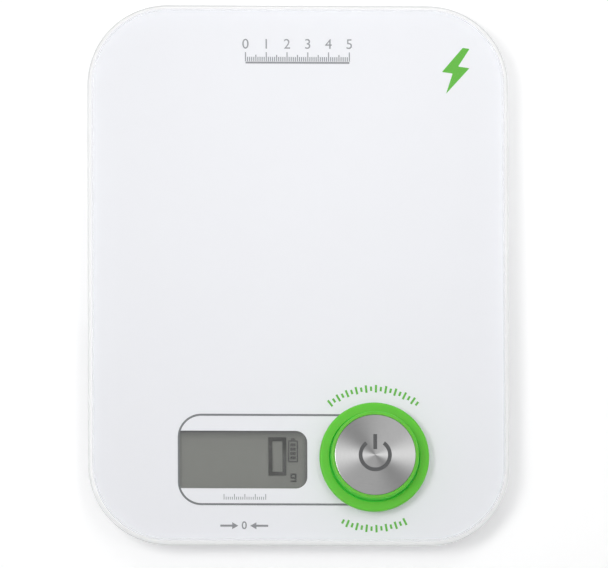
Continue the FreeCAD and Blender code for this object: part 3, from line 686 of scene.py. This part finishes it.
def makeGlass():
    bm = bmesh.new()
    glassFinishes = [finishes["clear_glass"], sideGlass, arrisGlass, bevelGlass, seamGlass]
    side, arris, bevel, seam = range(1, len(glassFinishes))
    low, high = plateLow.z, plateHigh.z
    wall = low + glass["underBevel"]
    shoulder = high - glass["arrisDown"] - glass["bevelDown"] - glass["seamDown"]
    under = pane(bm, plateLow, plateHigh, glass["corner"], wall)
    top = pane(bm, plateLow, plateHigh, glass["corner"], shoulder)
    giveFinish(bmesh.ops.bridge_loops(bm, edges=under.edges[:] + top.edges[:])["faces"], side)
    under.normal_flip()
    giveFinish(inset(bm, under, glass["underBevel"], glass["underBevel"]), side)
    giveFinish(inset(bm, top, glass["arrisIn"], glass["arrisDown"]), arris)
    giveFinish(inset(bm, top, glass["bevelIn"], glass["bevelDown"]), bevel)
    giveFinish(inset(bm, top, glass["seamIn"], glass["seamDown"]), seam)
    rims = [rimOnly(bm, top), rimOnly(bm, under)]
    holes = [circle(bm, buttonAxis, glass["hole"], high), circle(bm, buttonAxis, glass["hole"], low)]
    giveFinish(bmesh.ops.bridge_loops(bm, edges=holes[0] + holes[1])["faces"], side)
    for rim, hole in zip(rims, holes):
        fill(bm, rim + hole)
    finishPiece("glassPlate", bm, scaleBody, "clear_glass", ["glass_platform"], glassFinishes,
                detail["flatAngle"])


def windowRim(bm, height):
    # the window: the printed outline's left end, cut straight at the back, front and right
    pane(bm, panelLow, panelHigh, window["panelCorner"], height)
    for point, outwards in ((windowHigh, (0, 1, 0)), (windowLow, (0, -1, 0)), (windowHigh, (1, 0, 0))):
        cutOff(bm, (*point, 0), outwards)
    corners = [corner for corner in bm.verts if abs(corner.co.x - windowHigh.x) < detail["near"]]
    roundCorners(bm, corners, window["corner"], detail["cornerSteps"] // 2)
    return rimOnly(bm, next(iter(bm.faces)))


def makeEnamel():
    bm = bmesh.new()
    base = enamel["top"] - enamel["depth"]
    opening = windowRim(bm, base)
    margin = Vector((enamel["inset"], enamel["inset"], 0))
    corner = glass["corner"] - enamel["inset"]
    outside = rimOnly(bm, pane(bm, plateLow + margin, plateHigh - margin, corner, base))
    hole = circle(bm, buttonAxis, enamel["hole"], base)
    thicken(bm, enamel["depth"], fill(bm, opening + outside + hole))
    finishPiece("enamelSheet", bm, scaleBody, "white_enamel", ["print_layer"])


makeGlass()
makeEnamel()
print("glass and enamel made")

# Prints between the enamel and the glass

ink = {"height": 14.95, "thickness": 0.02}
panelLine = {"width": 0.85, "stopsLeftOfAxis": 10.2}
keyMark = {"centre": (-23.1, -106.5), "digit": 4.6, "weight": 0.06, "arrowLength": 7.6, "arrowGap": 2.5,
           "line": 0.85, "headLength": 2.6, "headWidth": 2.9}
tickRow = {"left": -31.6, "right": -14.0, "front": -95.4, "count": 21, "width": 0.3, "short": 1.2,
           "long": 2.4, "longEvery": 5}
bar = {"centre": (0, 91.5), "width": 44.0, "line": 0.8, "steps": 50, "tickAbove": 0.15, "tick": 0.45,
       "short": 1.9, "middle": 2.8, "middleEvery": 5, "long": 3.9, "longEvery": 10, "digits": 6.0,
       "digitsAbove": 7.4}
bolt = {"centre": (67.0, 87.8), "size": (13.5, 20.5), "turn": -8.0, "corner": 0.35, "cornerSteps": 3,
        "outlineShares": ((0.62, 1.0), (0.08, 0.44), (0.42, 0.44), (0.30, 0.0), (0.92, 0.60), (0.56, 0.60),
                          (0.84, 1.0))}
arcs = {"inner": 28.2, "outer": 31.4, "short": 1.9, "width": 0.9, "step": 4.0,
        "spans": ((90, 38), (-90, 26))}  # middle and half width of each, in degrees


def finishInk(name, bm, finish):
    thicken(bm, ink["thickness"])
    finishPiece(name, bm, scaleBody, "white_enamel", finishList=[finish])


def makePanelOutline():
    bm = bmesh.new()
    bandOnly(bm, pane(bm, panelLow, panelHigh, window["panelCorner"], ink["height"]), panelLine["width"])
    cutOff(bm, (buttonAxis.x - panelLine["stopsLeftOfAxis"], 0, 0), (1, 0, 0))
    finishInk("panelOutline", bm, greyInk)


def makeKeyMark():
    # an arrow from each side to a nought: the key sets the reading to zero
    bm = bmesh.new()
    x, y = keyMark["centre"]
    half, line = keyMark["headWidth"] / 2, keyMark["line"] / 2
    writing(bm, "0", keyMark["digit"], (x, y), ink["height"], keyMark["weight"])
    for side in (-1, 1):
        tip = x + side * keyMark["arrowGap"]
        neck, end = tip + side * keyMark["headLength"], tip + side * keyMark["arrowLength"]
        points = [(tip, y), (neck, y - half), (neck, y - line), (end, y - line), (end, y + line),
                  (neck, y + line), (neck, y + half)]
        polygon(bm, points[::side], ink["height"])
    finishInk("zeroKeyMark", bm, keyInk)


def makeTickRow():
    bm = bmesh.new()
    pitch = (tickRow["right"] - tickRow["left"]) / (tickRow["count"] - 1)
    for number in range(tickRow["count"]):
        length = tickRow["short"] if number % tickRow["longEvery"] else tickRow["long"]
        place = tickRow["left"] + number * pitch
        flatBar(bm, place, tickRow["front"], tickRow["width"], length, ink["height"])
    finishInk("tickRow", bm, paleInk)


def tickLength(number):
    if number % bar["middleEvery"]:
        return bar["short"]
    return bar["middle"] if number % bar["longEvery"] else bar["long"]


def makeGraduation():
    # a ruled bar with the numbers from 0 to 5
    bm = bmesh.new()
    x, y = bar["centre"]
    flatBar(bm, x, y - bar["line"], bar["width"], bar["line"], ink["height"])
    for number in range(bar["steps"] + 1):
        place = x - bar["width"] / 2 + number * bar["width"] / bar["steps"]
        flatBar(bm, place, y + bar["tickAbove"], bar["tick"], tickLength(number), ink["height"])
        if number % bar["longEvery"] == 0:
            writing(bm, str(number // bar["longEvery"]), bar["digits"], (place, y + bar["digitsAbove"]),
                    ink["height"])
    finishInk("graduationBar", bm, paleInk)


def makeBolt():
    bm = bmesh.new()
    wide, tall = bolt["size"]
    points = [((across - 0.5) * wide, (up - 0.5) * tall) for across, up in bolt["outlineShares"]]
    face = polygon(bm, points, 0)
    roundCorners(bm, face.verts[:], bolt["corner"], bolt["cornerSteps"])
    place = Matrix.Translation((*bolt["centre"], ink["height"]))
    bmesh.ops.transform(bm, verts=bm.verts[:], matrix=place @ Matrix.Rotation(radians(bolt["turn"]), 4, "Z"))
    finishInk("boltMark", bm, greenInk)


def makeRingTicks():
    # every second tick is short
    bm = bmesh.new()
    for middle, half in arcs["spans"]:
        count = int(2 * half / arcs["step"])
        for number in range(count + 1):
            turn = radians(middle + (number - count / 2) * arcs["step"])
            inner = arcs["inner"] + (0 if number % 2 else (arcs["outer"] - arcs["inner"] - arcs["short"]) / 2)
            outer = arcs["outer"] - (inner - arcs["inner"])
            along, aside = Vector((cos(turn), sin(turn))), Vector((-sin(turn), cos(turn))) * arcs["width"] / 2
            corners = [along * inner - aside, along * outer - aside,
                       along * outer + aside, along * inner + aside]
            polygon(bm, [corner + buttonAxis for corner in corners], ink["height"])
    finishInk("ringTicks", bm, greenInk)


makePanelOutline()
makeKeyMark()
makeTickRow()
makeGraduation()
makeBolt()
makeRingTicks()
print("prints made")

# Display

screen = {"corner": 0.6, "reflector": 13.35, "gap": 0.01, "coverRound": 0.25, "ink": 13.95, "inkThick": 0.05}
digit = {"fromRight": 8.8, "fromBack": 2.6, "width": 7.55, "height": 16.3, "stroke": 1.65, "gap": 0.1}
battery = {"fromRight": 3.85, "fromBack": 3.9, "width": 4.25, "height": 9.35, "corner": 0.3, "line": 0.55,
           "nub": (1.8, 0.85), "nubGap": 0.02, "bars": 4, "barWidth": 2.3, "barHeight": 1.3, "barPitch": 1.85}
unit = {"fromRight": 4.5, "fromBack": 18.0, "width": 2.55, "corner": 0.5, "line": 0.72, "bowl": 2.25,
        "tail": 1.4, "gap": 0.05}


def makeCell():
    bm = bmesh.new()
    face = pane(bm, screenLow, screenHigh, screen["corner"], screenLow.z)
    thicken(bm, screen["reflector"] - screenLow.z, [face])
    finishPiece("displayCell", bm, scaleBody, "display_film", ["display_glass"])


def makeCover():
    bm = bmesh.new()
    low, high = screen["reflector"] + screen["gap"], screenHigh.z - screen["gap"]
    face = pane(bm, screenLow, screenHigh, screen["corner"], low)
    thicken(bm, high - low, [face])
    rim = [edge for edge in bm.edges if min(end.co.z for end in edge.verts) > high - detail["near"]]
    bmesh.ops.bevel(bm, geom=rim, offset=screen["coverRound"], offset_type="OFFSET", segments=2, profile=0.5,
                    affect="EDGES", material=-1)
    finishPiece("displayCover", bm, scaleBody, "display_film", finishList=[finishes["clear_glass"]],
                sharpAngle=detail["flatAngle"])


def drawDigit(bm, height):
    # a nought of six strokes with mitred ends
    right, back = windowHigh.x - digit["fromRight"], windowHigh.y - digit["fromBack"]
    middle = Vector((right - digit["width"] / 2, back - digit["height"] / 2))
    outer = Vector((digit["width"], digit["height"])) / 2
    inner = outer - Vector((digit["stroke"], digit["stroke"]))
    upper = ((outer.x, 0), (outer.x, outer.y), (inner.x, inner.y), (inner.x, 0))
    level = ((-outer.x, outer.y), (outer.x, outer.y), (inner.x, inner.y), (-inner.x, inner.y))
    for stroke, acrossSigns in ((upper, (1, -1)), (level, (1,))):
        for across in acrossSigns:
            for up in (1, -1):
                points = [middle + Vector((x * across, y * up)) for x, y in stroke]
                edge = inset(bm, polygon(bm, points, height), digit["gap"])
                bmesh.ops.delete(bm, geom=edge, context="FACES")


def drawBattery(bm, height):
    # the charge gauge: an outline with a nub at the back and a stack of bars
    right, back = windowHigh.x - battery["fromRight"], windowHigh.y - battery["fromBack"]
    left, front = right - battery["width"], back - battery["height"]
    bandOnly(bm, pane(bm, (left, front), (right, back), battery["corner"], height), battery["line"])
    across = (left + right) / 2
    flatBar(bm, across, back + battery["nubGap"], *battery["nub"], height)
    lowest = (front + back - (battery["bars"] - 1) * battery["barPitch"] - battery["barHeight"]) / 2
    for number in range(battery["bars"]):
        place = lowest + number * battery["barPitch"]
        flatBar(bm, across, place, battery["barWidth"], battery["barHeight"], height)


def drawUnit(bm, height):
    # the letter g, drawn with the straight strokes of a display: a bowl, a stem and a tail
    right, back = windowHigh.x - unit["fromRight"], windowHigh.y - unit["fromBack"]
    left, front = right - unit["width"], back - unit["bowl"]
    bandOnly(bm, pane(bm, (left, front), (right, back), unit["corner"], height), unit["line"])
    flatBar(bm, right - unit["line"] / 2, front - unit["tail"] + unit["line"], unit["line"],
            unit["tail"] - unit["line"] - unit["gap"], height)
    flatBar(bm, (left + right) / 2, front - unit["tail"], unit["width"], unit["line"] - unit["gap"], height)


def makeSegments():
    bm = bmesh.new()
    for draw in (drawDigit, drawBattery, drawUnit):
        draw(bm, screen["ink"])
    thicken(bm, screen["inkThick"])
    finishPiece("displaySegments", bm, scaleBody, "display_film", finishList=[segmentInk])


makeCell()
makeCover()
makeSegments()
print("display made")

# Ring and button

ring = {"bore": 19.15, "spigot": 20.2, "outside": 23.2, "edgeRound": 0.9, "boreRound": 0.3,
        "boreFootRound": 0.2, "spigotRound": 0.3}
cap = {
    "skirt": 19.07, "flange": 20.0, "flangeThick": 1.2, "flangeRound": 0.2, "stepHeight": 19.5,
    "outside": 18.6, "edgeRound": 0.8, "seat": 17.15, "seatEdge": 0.12, "web": 1.6, "hollow": 17.1,
    "peg": 2.0, "pegPlace": 13.3, "pegRadius": 1.5, "pegTipShare": 0.8, "pegSides": 32,
}
disc = {"radius": 17.1, "edge": 0.25, "drop": 0.03}
power = {"radius": 6.2, "line": 1.6, "open": 36.0, "steps": 64, "barFrom": 2.4, "barTo": 8.8,
         "thickness": 0.02}


def makeRing():
    bm = bmesh.new()
    low, high = nodeBox("bezel_ring")
    seat = plateHigh.z
    turned(bm, buttonAxis, ((ring["bore"], low.z), (ring["spigot"], low.z), (ring["spigot"], seat),
                            (ring["outside"], seat), (ring["outside"], high.z), (ring["bore"], high.z)),
           {0: ring["boreFootRound"], 1: ring["spigotRound"], 4: ring["edgeRound"], 5: ring["boreRound"]})
    finishPiece("greenRing", bm, scaleBody, "green_plastic", ["bezel_ring"])


def makeCap():
    bm = bmesh.new()
    low, high = nodeBox("button_cap")
    flange = low.z + cap["flangeThick"]
    seat = nodeBox("steel_disc")[0].z
    under = seat - cap["web"]
    outline = ((0, under), (cap["hollow"], under), (cap["hollow"], low.z), (cap["flange"], low.z),
               (cap["flange"], flange), (cap["skirt"], flange), (cap["skirt"], cap["stepHeight"]),
               (cap["outside"], cap["stepHeight"]), (cap["outside"], high.z), (cap["seat"], high.z),
               (cap["seat"], seat), (0, seat))
    rounds = {3: cap["flangeRound"], 4: cap["flangeRound"], 8: cap["edgeRound"], 9: cap["seatEdge"]}
    turned(bm, buttonAxis, outline, rounds, closed=False)
    for side in (-1, 1):
        peg = Vector((buttonAxis.x + side * cap["pegPlace"], buttonAxis.y, under - cap["peg"] / 2))
        bmesh.ops.create_cone(bm, cap_ends=True, segments=cap["pegSides"], depth=cap["peg"],
                              radius1=cap["pegRadius"] * cap["pegTipShare"], radius2=cap["pegRadius"],
                              matrix=Matrix.Translation(peg))
    finishPiece("greenCap", bm, buttonBody, "green_plastic", ["button_cap"])


def makeDisc():
    bm = bmesh.new()
    low, high = nodeBox("steel_disc")
    top = high.z - disc["drop"]
    turned(bm, buttonAxis, ((0, top), (disc["radius"], top), (disc["radius"], low.z), (0, low.z)),
           {1: disc["edge"]}, closed=False)
    finishPiece("spunDisc", bm, buttonBody, "spun_steel", ["steel_disc"])


def makePowerMark():
    # a ring left open at the back, with an upright bar in the gap
    bm = bmesh.new()
    top = nodeBox("steel_disc")[1].z - disc["drop"]
    inner, outer = power["radius"] - power["line"] / 2, power["radius"] + power["line"] / 2
    start = bm.edges.new([bm.verts.new((radius, 0, top)) for radius in (inner, outer)])
    bmesh.ops.rotate(bm, cent=(0, 0, 0), matrix=Matrix.Rotation(radians(90 + power["open"]), 3, "Z"),
                     verts=start.verts[:])
    bmesh.ops.spin(bm, geom=[start] + start.verts[:], cent=(0, 0, 0), axis=upright, dvec=(0, 0, 0),
                   angle=radians(360 - 2 * power["open"]), steps=power["steps"], use_merge=False,
                   use_normal_flip=False, use_duplicate=False)
    flatBar(bm, 0, power["barFrom"], power["line"], power["barTo"] - power["barFrom"], top)
    bmesh.ops.translate(bm, vec=(*buttonAxis, 0), verts=bm.verts[:])
    bmesh.ops.recalc_face_normals(bm, faces=bm.faces[:])
    thicken(bm, power["thickness"])
    finishPiece("powerMark", bm, buttonBody, "spun_steel", finishList=[darkInk])


makeRing()
makeCap()
makeDisc()
makePowerMark()
print("ring and button made")

# Return springs: two coils in the CAD node's place

coil = {"radius": 2.2, "wire": 0.5, "turns": 9, "turnSteps": 24, "sides": 10}


def makeSprings():
    bm = bmesh.new()
    low, high = nodeBox("return_springs")
    middle = middleOf("return_springs")
    reach, steps = coil["radius"] + coil["wire"] / 2, coil["turns"] * coil["turnSteps"]
    climb = (high.z - low.z - coil["wire"]) / steps
    for x in (low.x + reach, high.x - reach):
        place = Matrix.Translation((x + coil["radius"], middle.y, low.z + coil["wire"] / 2))
        section = bmesh.ops.create_circle(bm, cap_ends=True, segments=coil["sides"], radius=coil["wire"] / 2,
                                          matrix=place @ Matrix.Rotation(pi / 2, 4, "X"))["verts"]
        end = section[0].link_faces[0]
        bmesh.ops.spin(bm, geom=[end, *end.edges, *end.verts], cent=(x, middle.y, 0), axis=upright,
                       dvec=upright * climb, angle=2 * pi * coil["turns"], steps=steps, use_merge=False,
                       use_normal_flip=False, use_duplicate=False)
    springs = finishPiece("returnSprings", bm, None, "spring_steel", ["return_springs"])
    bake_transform(springs)


makeSprings()
print("springs made")

# Underside: feet, screws and the blank label

foot = {"radius": 11.0, "rise": 0.6, "top": 2.7, "seatRadius": 9.05, "seatTop": 1.4, "neck": 4.0,
        "neckTop": 5.5, "edgeRound": 0.7, "topRound": 0.4, "neckRound": 0.5}
pad = {"radius": 8.95, "top": 1.38, "edgeRound": 0.4, "grooves": (2.4, 4.6, 6.8), "grooveWidth": 0.8,
       "grooveDepth": 0.35}
coverScrew = {"shank": 1.3, "shankTop": 11.1, "tipRound": 0.4, "head": 2.75, "headLow": 3.5, "headHigh": 4.6,
              "round": 0.5, "headPlay": 0.05, "cross": 1.5, "slot": 0.42, "crossDepth": 0.7, "crossRim": 0.15}
label = {"size": (56.0, 32.0), "corner": 2.0, "thickness": 0.12, "recess": 0.3, "gap": 0.01}


def makeFootCup(corner, centre):
    bm = bmesh.new()
    seat, radius, neck = foot["seatRadius"], foot["radius"], foot["neck"]
    outline = ((0, foot["seatTop"]), (seat, foot["seatTop"]), (seat, foot["rise"]), (radius, foot["rise"]),
               (radius, foot["top"]), (neck, foot["top"]), (neck, foot["neckTop"]), (0, foot["neckTop"]))
    rounds = {3: foot["edgeRound"], 4: foot["topRound"], 5: foot["neckRound"]}
    turned(bm, centre, outline, rounds, closed=False)
    finishPiece("footCup_" + corner, bm, scaleBody, "grey_plastic", ["foot_" + corner])


def makeFootPad(corner, centre):
    # a rubber pad with ring grooves in its underside
    bm = bmesh.new()
    outline = [(0, pad["top"]), (pad["radius"], pad["top"]), (pad["radius"], 0)]
    half, depth = pad["grooveWidth"] / 2, pad["grooveDepth"]
    for radius in reversed(pad["grooves"]):
        outline += [(radius + half, 0), (radius + half / 2, depth), (radius - half / 2, depth),
                    (radius - half, 0)]
    turned(bm, centre, outline + [(0, 0)], {2: pad["edgeRound"]}, closed=False)
    finishPiece("footPad_" + corner, bm, scaleBody, "foot_rubber", ["foot_pad_" + corner])


def makeFeet():
    for corner in ("front_left", "front_right", "back_left", "back_right"):
        centre = middleOf("foot_" + corner).xy
        makeFootCup(corner, centre)
        makeFootPad(corner, centre)


def screwPlaces():
    # the middles of the CAD node's separate screws
    low, high = nodeBox("cover_screws")
    x = high.x - coverScrew["head"] - coverScrew["headPlay"]
    middle, reach = (low.y + high.y) / 2, high.y - coverScrew["head"] - coverScrew["headPlay"]
    return [Vector((side * x, middle + row * reach)) for side in (-1, 1) for row in (-1, 0, 1)]


def makeScrews():
    # each screw is turned with an open middle, which the cross recess then fills
    bm = bmesh.new()
    low, high, top = coverScrew["headLow"], coverScrew["headHigh"], coverScrew["shankTop"]
    cross, slot = coverScrew["cross"], coverScrew["slot"]
    middle = cross + coverScrew["crossRim"]
    for centre in screwPlaces():
        turned(bm, centre, ((middle, low), (coverScrew["head"], low), (coverScrew["head"], high),
                            (coverScrew["shank"], high), (coverScrew["shank"], top), (0, top)),
               {1: coverScrew["round"], 4: coverScrew["tipRound"]}, closed=False)
        outline = []
        for number in range(4):
            turn = Matrix.Rotation(number * pi / 2, 2)
            outline += [turn @ Vector(point) for point in ((slot, slot), (slot, cross), (-slot, cross))]
        rim = rimOnly(bm, polygon(bm, [point + centre for point in outline], low))
        around = [edge for edge in bm.edges if edge.is_boundary and
                  abs((edge.verts[0].co.xy - centre).length - middle) < detail["near"]]
        fill(bm, rim + around)
        made = bmesh.ops.extrude_edge_only(bm, edges=rim)["geom"]
        bmesh.ops.translate(bm, vec=(0, 0, coverScrew["crossDepth"]), verts=only(bmesh.types.BMVert, made))
        bmesh.ops.contextual_create(bm, geom=only(bmesh.types.BMEdge, made))
    finishPiece("coverScrews", bm, scaleBody, "screw_steel", ["cover_screws"])


def makeLabel():
    # a blank paper label in the cover's recess
    bm = bmesh.new()
    wide, deep = label["size"]
    base = nodeBox("bottom_cover")[0].z + label["recess"] - label["thickness"]
    face = pane(bm, (-wide / 2, -deep / 2), (wide / 2, deep / 2), label["corner"], base)
    thicken(bm, label["thickness"] - label["gap"], [face])
    finishPiece("blankLabel", bm, scaleBody, "white_enamel", finishList=[labelPaper])


makeFeet()
makeScrews()
makeLabel()
print("underside made")

# The CAD nodes that stay get their finishes

for entry in frame["record"]["subparts"]:
    node = frame["nodes"][entry["node"]]
    node.data.materials.clear()
    node.data.materials.append(finishes[entry["material_slot"]])
print("finishes given to", len(frame["nodes"]), "nodes")

# Floor and background

floorLook = {
    "side": 6000, "squares": 8, "shade": 0.8, "fibre": 40.0, "fibreShade": 0.995, "roughness": 0.9,
    "seen": 1.46, "front": 1.05, "frontFrom": -20.0, "frontFade": 80.0,
}
backdrop = {"fill": 0.5, "seenBy": ("Is Camera Ray", "Is Glossy Ray", "Is Transmission Ray")}


def makeFloor():
    # pale paper, lighter to the camera than to the lamps, and a little more so in front of the scale
    finish, look = Finish("floorPaper"), floorLook
    shade, seen = look["shade"], look["shade"] * look["seen"]
    plain = finish.between(finish.grain(look["fibre"]), grey(shade * look["fibreShade"]), grey(shade))
    _, y = finish.centred(0, 0)
    front = ((y - look["frontFrom"]) / -look["frontFade"]).asShare()
    even = finish.between(front, grey(seen), grey(seen * look["front"]))
    path = finish.add("LightPath", output="Is Camera Ray")
    finish.set(baseColor=finish.between(path, plain, even), roughness=look["roughness"])
    finish.surface.inputs["Specular IOR Level"].default_value = 0
    bm = bmesh.new()
    bmesh.ops.create_grid(bm, x_segments=look["squares"], y_segments=look["squares"],
                          size=look["side"] * mm / 2)
    floor = meshObject("floor", bm, [finish.material])


def makeBackground():
    # white where it is seen, also in glass and gloss; darker as a source of light
    world = bpy.data.worlds.new("studio")
    world.use_nodes = True
    bpy.context.scene.world = world
    studio = Finish("studio", world)
    camera, gloss, through = [studio.add("LightPath", output=kind) for kind in backdrop["seenBy"]]
    seen = (camera + gloss + through).atMost(1)
    colour = world.node_tree.nodes["Background"].inputs["Color"]
    studio.put(colour, studio.between(seen, grey(backdrop["fill"]), grey(1)))


makeFloor()
makeBackground()
print("floor and background made")
